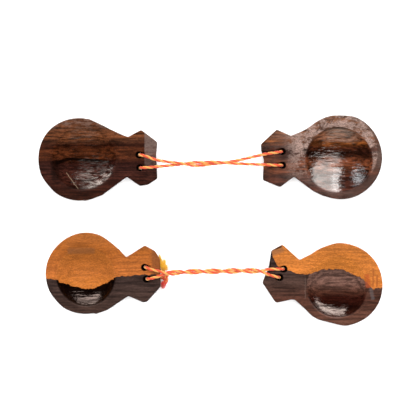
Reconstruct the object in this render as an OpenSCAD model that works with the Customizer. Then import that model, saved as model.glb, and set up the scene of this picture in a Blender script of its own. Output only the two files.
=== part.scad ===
// Two pairs of hand-carved wooden castanets, each pair strung on one two-ply cord.
// They lie open on a table: hollows up, ears towards the middle, cords slack between them.
// X runs from the left shells to the right ones, Y from pair B to pair A, Z up from the table.
// Each shell is drawn about its disc's centre with the ear towards +X, then set in place.

/* [Shells] */
// Height of the rims above the table
rim_h = 15; // [14:0.5:16]
// Depth of a hollow below its rim
hollow_depth = 8; // [6:0.5:9]
// Radius of the flat that a shell stands on
base_r = 14; // [10:1:16]
// Height at which the rounded back turns upright
back_h = 11; // [9:0.5:12]
// Thickness of an ear at its neck
ear_t = 9; // [8:0.5:9]
// Slope of the bevel on an ear's inner face, in degrees
bevel = 8; // [5:1:10]
// Radius of the disc of pair A's left shell
disc_a_left = 31.6; // [31:0.1:32]
// Radius of the disc of pair A's right shell
disc_a_right = 31.8; // [31:0.1:32]
// Radius of the disc of pair B's left shell
disc_b_left = 31; // [30.5:0.1:31.5]
// Radius of the disc of pair B's right shell
disc_b_right = 31.3; // [31:0.1:32]

/* [Cord] */
// Diameter of the cord
cord_d = 2.3; // [1.8:0.1:2.3]
// Diameter of pair B's two strands twisted together
twist_d = 4.6; // [4:0.1:4.8]
// Diameter of a cord hole
hole_d = 4; // [3.8:0.1:4.4]
// Width of the chamfer round a hole's mouths
mouth = 0.7; // [0.5:0.1:0.9]
// Radius of a knot
knot_r = 2.5; // [2.2:0.1:2.6]
// Length of a knot
knot_l = 5; // [4:0.5:5]

/* [Hidden] */
$fn = 64;

dark_wood = "#4a291e";
two_tone_wood = "#b5652b";
red_ply = "#e2553a";
yellow_ply = "#f0a65a";

// Underside of an ear at its neck
ear_under = rim_h - ear_t;
// Rise of an ear's underside from the neck to its end
ear_rise = 0.5;
// Where an ear's underside starts inside the disc, and where its neck ends
neck_start = 24;
neck_end = 38;
// Width of the block that cuts an ear's side profile
ear_block = 90;
// Cuts run this far past a face
past = 1;
// Bend of the hollow's wall: 1 is an ellipse, less is steeper at the rim
hollow_bend = 0.7;

// Where the discs' centres stand
centre_a_left = [-99.3, 46.7];
centre_a_right = [98.9, 48.4];
centre_b_left = [-94, -40.4];
centre_b_right = [99.6, -48.9];

// Outlines of the necks and ears, from the upper shoulder round the ear to the lower one
ear_a_left = [
    [0, 20], [6.5, 30.6], [33, 18.3], [37, 16.8], [47, 22.3], [59.3, 13], [58, 2],
    [59.3, -14.8], [52, -19.4], [46, -20.4], [36, -13.4], [17, -27.4], [0, -20]
];
ear_a_right = [
    [0, 20], [10, 29.4], [29.5, 19.2], [37.3, 16], [48, 20.9], [60, 9.7], [59.8, 6.5],
    [57.6, -1], [58.5, -17.6], [45.4, -23], [34.7, -15], [20, -26], [12, -29.4], [0, -20]
];
ear_b_left = [
    [0, 15], [24.5, 18.2], [30.2, 12.3], [44.3, 21.4], [53.7, 15.4], [56.2, 2],
    [56.4, -10], [46.3, -21.4], [43.2, -21.9], [32, -17], [16.5, -27.3], [0, -20]
];
ear_b_right = [
    [0, 20], [12.5, 28], [31.3, 18.8], [44.3, 30.6], [52.8, 25.9], [54.6, 13.7],
    [58.7, 2.4], [59.3, 1.2], [50, -13], [48.5, -13.6], [38, -11.3], [35, -11.4],
    [21, -24], [0, -20]
];

// Routes of the cords: heights are counted from the rims, and each runs from left to right
route_a_upper_left = [
    [-53.4, 50, -1.5], [-52.6, 49.8, 1], [-49.5, 49.1, 1.3], [-41, 46.2, 0.1],
    [-31, 44.6, -3.9], [-19.6, 43.3, -7], [-14.6, 42.3, -8.3], [-9.6, 41.9, -9.7],
    [-4.4, 42.4, -10.9], [0.4, 43.1, -11.2]
];
route_a_lower_left = [
    [-52.9, 40.1, -1.5], [-52.1, 40.1, 1], [-49, 40.2, 1.3], [-41, 40.8, 0.1],
    [-31, 41.9, -5.3], [-19.6, 43.3, -9.6], [-14.6, 44.2, -10.1], [-9.6, 44.5, -9.7],
    [-4.4, 44.3, -9.1], [0.4, 44.8, -9.3]
];
route_a_upper_right = [
    [0.8, 43.1, -11.2], [10.7, 44.2, -11.1], [21, 45.9, -8.2], [31, 48.1, -4.4],
    [41, 50.3, 0.3], [48.3, 51.4, 1.3]
];
route_a_lower_right = [
    [0.8, 44.8, -9.3], [10.7, 44.2, -8.2], [21, 43.4, -7], [30, 43, -4.2],
    [39.5, 42.5, 0.8], [48.3, 42.1, 1.3]
];
route_a_upper_eye = [[49.1, 51.5, 1.3], [55.2, 52.3, 1.3]];
route_a_lower_eye = [[49.1, 42.1, 1.3], [55.4, 42, 1.3]];
route_a_upper_lead = [
    [-53.4, 50, -1.5], [-53.4, 49.8, -8.8], [-53.2, 48.2, -10.4], [-53, 46.5, -11.2]
];
route_a_lower_lead = [
    [-52.9, 40.1, -1.5], [-52.9, 40.3, -8.8], [-53, 41.9, -10.4], [-53, 43.6, -11.2]
];
route_a_loop = [
    [54.4, 52.4, -0.3], [54.4, 52.2, -8.8], [54.4, 50.6, -10.3],
    [54.6, 43.8, -10.3], [54.7, 42.2, -8.8], [54.7, 42, -0.3]
];
route_b_upper_left = [
    [-49.1, -35.5, -1.5], [-48.3, -35.7, 1], [-45.2, -37, 1.3], [-38.2, -38.6, 0.6],
    [-33.1, -39, -1.6]
];
route_b_lower_left = [
    [-47.8, -44.5, -1.5], [-47, -44.4, 1], [-44, -43.8, 1.3], [-38.2, -42.2, 0.6],
    [-33.1, -41.4, -1.6]
];
route_b_twist_left = [
    [-32.7, -40.2, -1.8], [-22, -39.5, -6], [-11, -39.1, -8.6], [2.5, -38.9, -9.8]
];
route_b_twist_right = [
    [2.9, -38.9, -9.8], [16, -38.6, -8.8], [29, -38.3, -5.7], [39.6, -38.5, -1.7]
];
route_b_upper_right = [[40, -37.3, -1.5], [44.3, -37.1, 0.4], [48.6, -36.9, 1.1]];
route_b_lower_right = [[40, -39.7, -1.6], [43.6, -40.8, 0.2], [46.4, -41.6, 0.8]];
route_b_upper_eye = [[49.6, -36.9, 1.3], [56.6, -36.9, 1.3]];
route_b_lower_eye = [[47.6, -41.9, 1.1], [53.4, -43.4, 1.3]];
route_b_upper_lead = [
    [-49.1, -35.5, -1.5], [-49, -35.5, -8.8], [-47.4, -35.9, -10.3],
    [-37.6, -38.9, -10.1], [-34.8, -41, -8]
];
route_b_lower_lead = [
    [-47.8, -44.5, -1.5], [-47.7, -44.5, -8.8], [-46.1, -44.5, -10.3],
    [-37.6, -44.1, -10.1], [-34.8, -43.4, -8]
];
route_b_loop = [
    [55.7, -37, -0.3], [55.7, -37.1, -8.8], [55.2, -38.3, -10.3],
    [53.3, -42.1, -10.3], [52.7, -43.2, -8.8], [52.7, -43.3, -0.3]
];
route_b_upper_tail = [[-34.4, -41, -7], [-35.3, -38.6, -6.4], [-36.2, -36.4, -6.2]];
route_b_lower_tail = [
    [-34.4, -43.6, -7], [-32.7, -45, -6.6], [-33.6, -47.2, -6.2], [-35.2, -48.7, -6]
];

// Where the knots lie, and where the frayed end starts
knot_a_at = [-53, 45.05, rim_h - 11.6];
knot_b_at = [-34.5, -42.3, rim_h - 7];
fray_at = [-36.3, -36.2, rim_h - 6.2];
// Radii and length of the frayed end's fan
fray_r1 = 1.1;
fray_r2 = 2.6;
fray_l = 9;

function unit(v) = v / norm(v);
function at_rim(route) = [for (p = route) p + [0, 0, rim_h]];
function heading(route, i) =
    unit(route[min(i + 1, len(route) - 1)] - route[max(i - 1, 0)]);

// The eight points of the ring at point i of a route; side is never along the route
function ring(route, i, r, side) =
    let (t = heading(route, i), a = unit(cross(side, t)), b = cross(t, a))
    [for (k = [0 : 7]) route[i] + r * (cos(45 * k) * a + sin(45 * k) * b)];

// A tube of diameter d along a route
module tube(route, d, side = [0, 1, 0]) {
    path = at_rim(route);
    last = len(path) - 1;
    points = [for (i = [0 : last]) each ring(path, i, d / 2, side)];
    walls = [
        for (i = [0 : last - 1])
        for (k = [0 : 7])
        let (near = 8 * i, far = near + 8, next = (k + 1) % 8)
        each [[near + k, far + k, far + next], [near + k, far + next, near + next]]
    ];
    start = [for (k = [0 : 7]) k];
    end = [for (k = [7 : -1 : 0]) 8 * last + k];
    polyhedron(points, concat([start], walls, [end]), convexity = 4);
}

// Rounded back of a disc of radius r: a standing flat, a quarter ellipse, an upright rim
function back_profile(r) = concat(
    [[0, 0], [base_r, 0]],
    [for (a = [10 : 10 : 90]) [base_r + (r - base_r) * sin(a), back_h * (1 - cos(a))]],
    [[r, rim_h], [0, rim_h]]
);

// Bowl of radius r below the rim, carried past it so that it cuts cleanly
function hollow_profile(r) = concat(
    [[0, rim_h + past], [0, rim_h - hollow_depth]],
    [
        for (a = [10 : 10 : 90])
        [r * pow(sin(a), hollow_bend), rim_h - hollow_depth * pow(cos(a), hollow_bend)]
    ],
    [[r, rim_h + past]]
);

// Side of an ear: flat to the crease, bevelled to the tip, its underside rising a little
function ear_profile(crease, tip) = [
    [0, ear_under - 2], [0, rim_h], [crease, rim_h],
    [tip, rim_h - (tip - crease) * tan(bevel)], [tip, ear_under + ear_rise],
    [neck_end, ear_under], [neck_start, ear_under - 2]
];

// A cord hole right through an ear, chamfered at both mouths
module cord_hole(at) {
    translate([at.x, at.y, 0]) {
        cylinder(h = rim_h + past, d = hole_d);
        translate([0, 0, rim_h - mouth])
            cylinder(h = mouth + past, d1 = hole_d, d2 = hole_d + 2 * (mouth + past));
        translate([0, 0, ear_under - past])
            cylinder(h = mouth + past, d1 = hole_d + 2 * (mouth + past), d2 = hole_d);
    }
}

// A shell: disc, neck and ear in one piece of wood, less the hollow and two holes.
// turn is the way the ear points, crease and tip are where its bevel starts and ends.
module shell(r, ear, holes, hollow_at, hollow_r, crease, tip, turn = 0) {
    difference() {
        union() {
            rotate_extrude() polygon(back_profile(r));
            intersection() {
                linear_extrude(rim_h) polygon(ear);
                rotate([0, 0, turn])
                    rotate([90, 0, 0])
                    linear_extrude(ear_block, center = true)
                    polygon(ear_profile(crease, tip));
            }
        }
        translate([hollow_at.x, hollow_at.y, 0])
            rotate_extrude() polygon(hollow_profile(hollow_r));
        for (at = holes) cord_hole(at);
    }
}

module shell_a_left() {
    color(dark_wood)
        translate([centre_a_left.x, centre_a_left.y, 0])
        shell(disc_a_left, ear_a_left, [[45.4, 3.2], [46.1, -6.6]], [3.4, 0.8], 25, 49.2, 59.6);
}

module shell_a_right() {
    color(dark_wood)
        translate([centre_a_right.x, centre_a_right.y, 0])
        mirror([1, 0, 0])
        shell(disc_a_right, ear_a_right, [[44, 4], [43.7, -6.4]], [1.1, -2.7], 25.5, 49.8, 59.9);
}

module shell_b_left() {
    color(two_tone_wood)
        translate([centre_b_left.x, centre_b_left.y, 0])
        shell(disc_b_left, ear_b_left, [[44.4, 4.8], [45.7, -4.1]], [0.4, -2.4], 22, 50, 56.4);
}

module shell_b_right() {
    color(two_tone_wood)
        translate([centre_b_right.x, centre_b_right.y, 0])
        mirror([1, 0, 0])
        shell(disc_b_right, ear_b_right, [[43.3, 12], [46.5, 5.5]], [2.7, -1.5], 23.6, 48.5,
            59, turn = 10);
}

module cord_a_upper_left() { color(red_ply) tube(route_a_upper_left, cord_d); }
module cord_a_lower_left() { color(yellow_ply) tube(route_a_lower_left, cord_d); }
module cord_a_upper_right() { color(red_ply) tube(route_a_upper_right, cord_d); }
module cord_a_lower_right() { color(yellow_ply) tube(route_a_lower_right, cord_d); }
module cord_a_upper_eye() { color(red_ply) tube(route_a_upper_eye, cord_d); }
module cord_a_lower_eye() { color(yellow_ply) tube(route_a_lower_eye, cord_d); }
module cord_a_upper_lead() { color(red_ply) tube(route_a_upper_lead, cord_d, [1, 0, 0]); }
module cord_a_lower_lead() { color(yellow_ply) tube(route_a_lower_lead, cord_d, [1, 0, 0]); }
module cord_a_loop() { color(red_ply) tube(route_a_loop, cord_d, [1, 0, 0]); }

module cord_b_upper_left() { color(red_ply) tube(route_b_upper_left, cord_d); }
module cord_b_lower_left() { color(yellow_ply) tube(route_b_lower_left, cord_d); }
module cord_b_twist_left() { color(red_ply) tube(route_b_twist_left, twist_d); }
module cord_b_twist_right() { color(red_ply) tube(route_b_twist_right, twist_d); }
module cord_b_upper_right() { color(red_ply) tube(route_b_upper_right, cord_d); }
module cord_b_lower_right() { color(yellow_ply) tube(route_b_lower_right, cord_d); }
module cord_b_upper_eye() { color(red_ply) tube(route_b_upper_eye, cord_d); }
module cord_b_lower_eye() { color(yellow_ply) tube(route_b_lower_eye, cord_d); }
module cord_b_upper_lead() { color(red_ply) tube(route_b_upper_lead, cord_d); }
module cord_b_lower_lead() { color(yellow_ply) tube(route_b_lower_lead, cord_d); }
module cord_b_loop() { color(red_ply) tube(route_b_loop, cord_d, [1, 0, 0]); }
module cord_b_upper_tail() { color(yellow_ply) tube(route_b_upper_tail, cord_d, [0, 0, 1]); }
module cord_b_lower_tail() { color(red_ply) tube(route_b_lower_tail, cord_d, [0, 0, 1]); }

// A knot: a short barrel across the cord, its middle the widest
module knot() {
    half = knot_l / 2;
    rotate([90, 0, 0])
        rotate_extrude()
        polygon([
            [0, -half], [0.6 * knot_r, -half], [0.93 * knot_r, -half / 2], [knot_r, 0],
            [0.93 * knot_r, half / 2], [0.6 * knot_r, half], [0, half]
        ]);
}

module cord_a_knot() { color(red_ply) translate(knot_a_at) knot(); }
module cord_b_knot() { color(red_ply) translate(knot_b_at) knot(); }

// The cut end's loose fibres, drawn as the fan that they fill
module cord_b_frayed_end() {
    color(yellow_ply)
        translate(fray_at)
        rotate([-90, 0, 0])
        cylinder(h = fray_l, r1 = fray_r1, r2 = fray_r2);
}

shell_a_left();
shell_a_right();
shell_b_left();
shell_b_right();
cord_a_upper_left();
cord_a_lower_left();
cord_a_upper_right();
cord_a_lower_right();
cord_a_upper_eye();
cord_a_lower_eye();
cord_a_upper_lead();
cord_a_lower_lead();
cord_a_loop();
cord_a_knot();
cord_b_upper_left();
cord_b_lower_left();
cord_b_twist_left();
cord_b_twist_right();
cord_b_upper_right();
cord_b_lower_right();
cord_b_upper_eye();
cord_b_lower_eye();
cord_b_upper_lead();
cord_b_lower_lead();
cord_b_loop();
cord_b_knot();
cord_b_upper_tail();
cord_b_lower_tail();
cord_b_frayed_end();
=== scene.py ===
"""Two pairs of hand-carved castanets, open on their backs, each strung on one two-ply cord."""

from math import atan2, cos, degrees, hypot, pi, radians, sin, tan, tau

import bpy
import numpy as np
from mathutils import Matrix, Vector


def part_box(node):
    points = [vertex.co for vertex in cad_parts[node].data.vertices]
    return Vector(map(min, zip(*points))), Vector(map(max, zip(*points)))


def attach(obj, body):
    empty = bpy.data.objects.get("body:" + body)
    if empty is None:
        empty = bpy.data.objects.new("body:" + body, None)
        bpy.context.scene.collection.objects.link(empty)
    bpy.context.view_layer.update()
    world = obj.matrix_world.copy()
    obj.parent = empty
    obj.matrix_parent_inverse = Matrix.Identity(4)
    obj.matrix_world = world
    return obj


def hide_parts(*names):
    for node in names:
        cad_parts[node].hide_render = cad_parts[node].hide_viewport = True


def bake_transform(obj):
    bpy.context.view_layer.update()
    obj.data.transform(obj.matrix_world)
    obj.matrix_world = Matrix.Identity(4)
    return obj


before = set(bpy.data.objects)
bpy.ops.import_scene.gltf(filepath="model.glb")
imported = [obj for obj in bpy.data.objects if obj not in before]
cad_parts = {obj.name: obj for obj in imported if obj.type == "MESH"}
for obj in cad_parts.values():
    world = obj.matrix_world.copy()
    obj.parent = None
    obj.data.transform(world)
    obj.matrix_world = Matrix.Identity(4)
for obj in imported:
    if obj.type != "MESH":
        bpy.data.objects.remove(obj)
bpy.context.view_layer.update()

MM = 0.001
# Height of the rims above the table
RIM = 0.015


# -------- camera, floor and light

# The camera hangs straight above the middle of the four shells
CAMERA_AT = (0.0001, 0.008, 1.5)
# Width of the table that it takes in, at the height of the rims
VIEW_WIDTH = 0.3192
SENSOR = 36


def in_scene(name, data):
    """A new object with this data, in the scene."""
    thing = bpy.data.objects.new(name, data)
    bpy.context.scene.collection.objects.link(thing)
    return thing


def make_camera():
    data = bpy.data.cameras.new("camera")
    data.sensor_width = SENSOR
    data.lens = SENSOR * (CAMERA_AT[2] - RIM) / VIEW_WIDTH
    camera = in_scene("camera", data)
    camera.location = CAMERA_AT
    bpy.context.scene.camera = camera


def softbox(name, at, size, power, shows, colour="#ffffff"):
    """An area light that faces the table's middle line. shows is shine (it acts on reflections
    only) or shade (on the rest)."""
    data = bpy.data.lights.new(name, "AREA")
    data.shape = "RECTANGLE"
    data.size, data.size_y = size
    data.energy = power
    data.color = tint(colour)[:3]
    light = in_scene(name, data)
    light.location = at
    way = Vector((0, -at[1], -at[2]))
    light.rotation_euler = way.to_track_quat("-Z", "Y").to_euler()
    light.visible_glossy = shows == "shine"
    light.visible_diffuse = shows == "shade"
    return light


def light_only(light, piece):
    """The light falls on this piece and nothing else."""
    group = bpy.data.collections.new(f"{light.name}_falls_on")
    group.objects.link(piece)
    light.light_linking.receiver_collection = group


# Softboxes mirrored in the lacquer of one shell each: shell, place, width and height, watts, colour
SHINES = [
    ("a_left", (-0.78, 0.72, 0.75), (1.3, 1.3), 7, "#fff4ea"),
    ("a_left", (-0.2, 0.7, 0.8), (0.6, 0.22), 2.2, "#fff4ea"),
    ("a_left", (-0.9, 0.85, 0.28), (1.25, 0.3), 15, "#fff4ea"),
    ("a_left", (-0.1, -1.2, 0.8), (1.4, 0.6), 4, "#ffe6d4"),
    ("b_left", (-0.28, 1.0, 0.5), (1.27, 0.6), 21, "#ffe0d2"),
    ("a_right", (0.78, 0.66, 0.78), (1.3, 1.8), 68, "#fff8f2"),
    ("a_right", (0.21, 0.74, 0.72), (0.1, 1.1), 5, "#ffffff"),
    ("a_right", (-0.45, 0.6, 0.7), (0.3, 0.4), 4, "#f6fbff"),
    ("a_right", (0.1, -1.2, 0.8), (1.4, 0.6), 10, "#ffe6d4"),
    ("b_right", (0.75, 1.0, 0.5), (1.9, 0.6), 58, "#ffe9dd"),
    ("b_right", (0.33, 1.0, 0.5), (0.25, 0.6), 8, "#fff4ea"),
]


def make_light(shells, floor):
    """A wide diffuser overhead, one beyond the far side, each shell's softboxes, and a light of
    the table's own, so that it stays white."""
    softbox("overhead", (0, 0.2, 2.3), (2.4, 2.4), 48, "shade")
    softbox("far_side", (0, 1.3, 1.3), (1.6, 0.8), 18, "shade")
    for number, (key, at, size, power, colour) in enumerate(SHINES):
        box = softbox(f"shine_{number}_{key}", at, size, power, "shine", colour)
        light_only(box, shells[key])
    wash = softbox("table_wash", (0, 0, 2.5), (3, 3), 85, "shade")
    light_only(wash, floor)
    make_world(0.5)


def make_world(strength):
    """Even white light from all round, which doesn't show in reflections."""
    world = bpy.data.worlds.new("studio")
    bpy.context.scene.world = world
    world.use_nodes = True
    background = world.node_tree.nodes["Background"]
    background.inputs["Color"].default_value = (1, 1, 1, 1)
    background.inputs["Strength"].default_value = strength
    world.cycles_visibility.glossy = False
    bpy.context.scene.view_settings.view_transform = "Standard"


# -------- materials: short calls for nodes


def tint(code):
    """A colour written as on the web, as the linear values that a socket takes."""
    parts = [int(code[i:i + 2], 16) / 255 for i in (1, 3, 5)]
    line = [p / 12.92 if p <= 0.04045 else ((p + 0.055) / 1.055) ** 2.4 for p in parts]
    return (*line, 1)


class Look:
    """A material with a Principled shader, and short calls that add nodes to it."""

    def __init__(self, name):
        self.material = bpy.data.materials.new(name)
        self.material.use_nodes = True
        self.tree = self.material.node_tree
        self.shader = self.tree.nodes["Principled BSDF"]

    def put(self, socket, value):
        """Link the socket to a node's output, or set its own value."""
        if isinstance(value, bpy.types.NodeSocket):
            self.tree.links.new(value, socket)
        else:
            socket.default_value = value

    def fill(self, node, **inputs):
        for name, value in inputs.items():
            self.put(node.inputs[name.replace("_", " ")], value)
        return node

    def new(self, kind, **inputs):
        return self.fill(self.tree.nodes.new("ShaderNode" + kind), **inputs)

    def set(self, **inputs):
        self.fill(self.shader, **inputs)

    def place(self, scale=(1, 1, 1), turn=0):
        """Object coordinates, in metres, turned about Z and scaled."""
        where = self.new("TexCoord").outputs["Object"]
        spin = (0, 0, radians(turn))
        return self.new("Mapping", Vector=where, Scale=scale, Rotation=spin).outputs["Vector"]

    def axis(self, name, turn=0):
        return self.new("SeparateXYZ", Vector=self.place(turn=turn)).outputs[name]

    def stroke(self, start, end, width, wobble):
        """1 on a line between two points in millimetres, 0 beyond its half width; wobble bends it."""
        (ax, ay), (bx, by) = start, end
        long = hypot(bx - ax, by - ay)
        spin = atan2(ay - by, bx - ax)
        turn = degrees(spin)
        at_x = (ax * cos(spin) - ay * sin(spin)) * MM
        at_y = (ax * sin(spin) + ay * cos(spin)) * MM
        off = self.minus(self.axis("Y", turn), at_y)
        off = self.plus(off, self.times(self.minus(wobble, 0.5), 0.002))
        way = self.minus(self.axis("X", turn), at_x + long * MM / 2)
        on = self.between(self.maths("ABSOLUTE", off), width * MM, width * MM / 3)
        reach = self.between(self.maths("ABSOLUTE", way), long * MM * 0.52, long * MM * 0.42)
        return self.times(on, reach)

    def noise(self, scale, turn=0, detail=4, roughness=0.55, distortion=0):
        """Noise from 0 to 1, with scale lumps to the metre along each axis."""
        node = self.new("TexNoise", Vector=self.place(scale, turn), Scale=1, Detail=detail,
                        Roughness=roughness, Distortion=distortion)
        return node.outputs["Fac"]

    def stored(self, name):
        node = self.new("Attribute")
        node.attribute_name = name
        return node.outputs["Fac"]

    def maths(self, operation, a, b=0):
        node = self.new("Math")
        node.operation = operation
        self.put(node.inputs[0], a)
        self.put(node.inputs[1], b)
        return node.outputs[0]

    def times(self, a, b):
        return self.maths("MULTIPLY", a, b)

    def plus(self, a, b):
        return self.maths("ADD", a, b)

    def minus(self, a, b):
        return self.maths("SUBTRACT", a, b)

    def between(self, value, low, high, out_low=0, out_high=1):
        """The value's way from low to high, clamped and smoothed."""
        node = self.new("MapRange", Value=value, From_Min=low, From_Max=high,
                        To_Min=out_low, To_Max=out_high)
        node.interpolation_type = "SMOOTHSTEP"
        return node.outputs["Result"]

    def ramp(self, value, stops):
        """A colour for a value: stops are (place from 0 to 1, colour)."""
        node = self.new("ValToRGB", Fac=value)
        steps = node.color_ramp.elements
        while len(steps) < len(stops):
            steps.new(0.5)
        for step, (at, colour) in zip(steps, stops):
            step.position = at
            step.color = tint(colour)
        return node.outputs["Color"]

    def mix(self, amount, a, b, how="MIX"):
        """Colour b over colour a by the amount."""
        node = self.new("Mix")
        node.data_type = "RGBA"
        node.blend_type = how
        self.put(node.inputs["Factor"], amount)
        self.put(node.inputs[6], a)
        self.put(node.inputs[7], b)
        return node.outputs[2]

    def bump(self, height, distance, strength):
        """The shading of a surface that rises and falls by this height times the distance."""
        return self.new("Bump", Height=height, Distance=distance, Strength=strength).outputs["Normal"]


# -------- cords

CORD_D = 0.0023
# Length along a strand in which its two plies go once round each other
PLY_PITCH = 0.009
# Length in which pair B's two strands go once round each other
TWIST_PITCH = 0.0298
# Points round a ply, and the distance between its rings
PLY_SIDES = 18
RING_STEP = 0.0003
# A ply's half thickness, half width and place off the strand's middle, as parts of the diameter
PLY_THICK = 0.262
PLY_WIDE = 0.37
PLY_OFF = 0.235
# Yarns in a ply, the depth of the grooves between them, and the length of their turn round it
YARNS = 5
YARN_DEEP = 0.05
YARN_PITCH = 0.006
# Stray fibres: their spacing, radius, least and greatest reach, and a strand's bare ends
FUZZ_STEP = 0.0011
FUZZ_R = 0.00005
FUZZ_REACH = (0.0004, 0.0011)
FUZZ_BARE = (0.008, 0.006)
# Diameter of the cord where it is pulled tight in a knot
KNOT_CORD_D = 0.002
# CAD nodes that each strand stands for, after its own name
STRAND_PARTS = ("left", "right", "eye", "lead")

# Routes of the cords, in metres, with heights counted from the rims, from left to right
A_UPPER = [
    (-0.053, 0.0465, -0.0112), (-0.0532, 0.0482, -0.0104), (-0.0534, 0.0498, -0.0088),
    (-0.0534, 0.05, -0.0015), (-0.0526, 0.0498, 0.001), (-0.0495, 0.0491, 0.0013),
    (-0.041, 0.0462, 0.0001), (-0.031, 0.0446, -0.0039), (-0.0196, 0.0433, -0.007),
    (-0.0146, 0.0423, -0.0083), (-0.0096, 0.0419, -0.0097), (-0.0044, 0.0424, -0.0109),
    (0.0004, 0.0431, -0.0112), (0.0107, 0.0442, -0.0111), (0.021, 0.0459, -0.0082),
    (0.031, 0.0481, -0.0044), (0.041, 0.0503, 0.0003), (0.0483, 0.0514, 0.0013),
    (0.0523, 0.052, 0.0011), (0.0538, 0.0523, -0.0001), (0.0541, 0.0523, -0.0016),
]
A_LOWER = [
    (-0.053, 0.0436, -0.0112), (-0.053, 0.0419, -0.0104), (-0.0529, 0.0403, -0.0088),
    (-0.0529, 0.0401, -0.0015), (-0.0521, 0.0401, 0.001), (-0.049, 0.0402, 0.0013),
    (-0.041, 0.0408, 0.0001), (-0.031, 0.0419, -0.0053), (-0.0196, 0.0433, -0.0096),
    (-0.0146, 0.0442, -0.0101), (-0.0096, 0.0445, -0.0097), (-0.0044, 0.0443, -0.0091),
    (0.0004, 0.0448, -0.0093), (0.0107, 0.0442, -0.0082), (0.021, 0.0434, -0.007),
    (0.03, 0.043, -0.0042), (0.0395, 0.0425, 0.0008), (0.0483, 0.0421, 0.0013),
    (0.0525, 0.042, 0.0011), (0.0541, 0.042, -0.0001), (0.0544, 0.042, -0.0016),
]
A_LOOP = [
    (0.0544, 0.0524, -0.001), (0.0544, 0.0522, -0.0088), (0.0544, 0.0506, -0.0103),
    (0.0546, 0.0438, -0.0103), (0.0547, 0.0422, -0.0088), (0.0547, 0.042, -0.001),
]
B_UPPER_LEFT = [
    (-0.0348, -0.041, -0.008), (-0.0376, -0.0389, -0.0101), (-0.0474, -0.0359, -0.0103),
    (-0.049, -0.0355, -0.0088), (-0.0491, -0.0355, -0.0015), (-0.0483, -0.0357, 0.001),
    (-0.0452, -0.037, 0.0013), (-0.0382, -0.0386, 0.0007),
]
B_LOWER_LEFT = [
    (-0.0348, -0.0434, -0.008), (-0.0376, -0.0441, -0.0101), (-0.0461, -0.0445, -0.0103),
    (-0.0477, -0.0445, -0.0088), (-0.0478, -0.0445, -0.0015), (-0.047, -0.0444, 0.001),
    (-0.044, -0.0438, 0.0013), (-0.0382, -0.0422, 0.0006),
]
B_MIDDLE = [
    (-0.0334, -0.0402, -0.0015), (-0.022, -0.0395, -0.006), (-0.011, -0.0391, -0.0086),
    (0.0025, -0.0389, -0.0098), (0.016, -0.0386, -0.0088), (0.029, -0.0383, -0.0057),
    (0.0396, -0.0385, -0.0017),
]
B_UPPER_RIGHT = [
    (0.0443, -0.0371, 0.0004), (0.0486, -0.0369, 0.0011), (0.0535, -0.0369, 0.0012),
    (0.0552, -0.0369, 0), (0.0555, -0.0369, -0.0016),
]
B_LOWER_RIGHT = [
    (0.0436, -0.0408, 0.0002), (0.0464, -0.0416, 0.0008), (0.0503, -0.0427, 0.0012),
    (0.052, -0.0431, 0), (0.0524, -0.0432, -0.0016),
]
B_LOOP = [
    (0.0557, -0.037, -0.001), (0.0557, -0.0371, -0.0088), (0.0552, -0.0383, -0.0103),
    (0.0533, -0.0421, -0.0103), (0.0527, -0.0432, -0.0088), (0.0527, -0.0433, -0.001),
]
B_UPPER_TAIL = [
    (-0.0344, -0.041, -0.007), (-0.0353, -0.0386, -0.0064), (-0.0362, -0.0364, -0.0062),
]
B_LOWER_TAIL = [
    (-0.0344, -0.0436, -0.007), (-0.0327, -0.045, -0.0066), (-0.0336, -0.0472, -0.0062),
    (-0.0352, -0.0487, -0.006),
]
# Middles and sizes of the two knots, and the height of a knot's crossings
KNOT_A_AT = (-0.053, 0.04505, 0.0034)
KNOT_A_SIZE = 0.00058
KNOT_B_AT = (-0.0346, -0.0428, 0.008)
KNOT_B_SIZE = 0.00076
KNOT_RISE = 0.00085


def at_rim(route):
    """A route as an array, with its heights counted from the table."""
    return np.array(route) + (0, 0, RIM)


def along(points):
    """Distance from the first point to each, along the line."""
    steps = np.linalg.norm(np.diff(points, axis=0), axis=1)
    return np.concatenate([[0], np.cumsum(steps)])


def smooth_line(points, step=RING_STEP):
    """A centripetal Catmull-Rom curve through the points, evenly spaced."""
    first, last = 2 * points[0] - points[1], 2 * points[-1] - points[-2]
    around = np.vstack([first, points, last])
    knots = np.concatenate([[0], np.cumsum(np.linalg.norm(np.diff(around, axis=0), axis=1) ** 0.5)])
    pieces = []
    for i in range(1, len(around) - 2):
        t = np.linspace(knots[i], knots[i + 1], 24, endpoint=False)[:, None]
        k, p = knots[i - 1:i + 3], around[i - 1:i + 3]
        a = [((k[j + 1] - t) * p[j] + (t - k[j]) * p[j + 1]) / (k[j + 1] - k[j]) for j in range(3)]
        b = [((k[j + 2] - t) * a[j] + (t - k[j]) * a[j + 1]) / (k[j + 2] - k[j]) for j in range(2)]
        pieces.append(((k[2] - t) * b[0] + (t - k[1]) * b[1]) / (k[2] - k[1]))
    dense = np.vstack(pieces + [points[-1:]])
    far = along(dense)
    even = np.linspace(0, far[-1], max(2, round(far[-1] / step)) + 1)
    return np.stack([np.interp(even, far, dense[:, i]) for i in range(3)], axis=1)


def carried_frames(line, side):
    """Heading and two cross directions at each point, carried along without spinning."""
    heading = np.gradient(line, axis=0)
    heading /= np.linalg.norm(heading, axis=1)[:, None]
    across = np.empty_like(line)
    current = np.array(side, float)
    for i, way in enumerate(heading):
        current = current - way * (current @ way)
        current /= np.linalg.norm(current)
        across[i] = current
    return heading, across, np.cross(heading, across)


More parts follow.
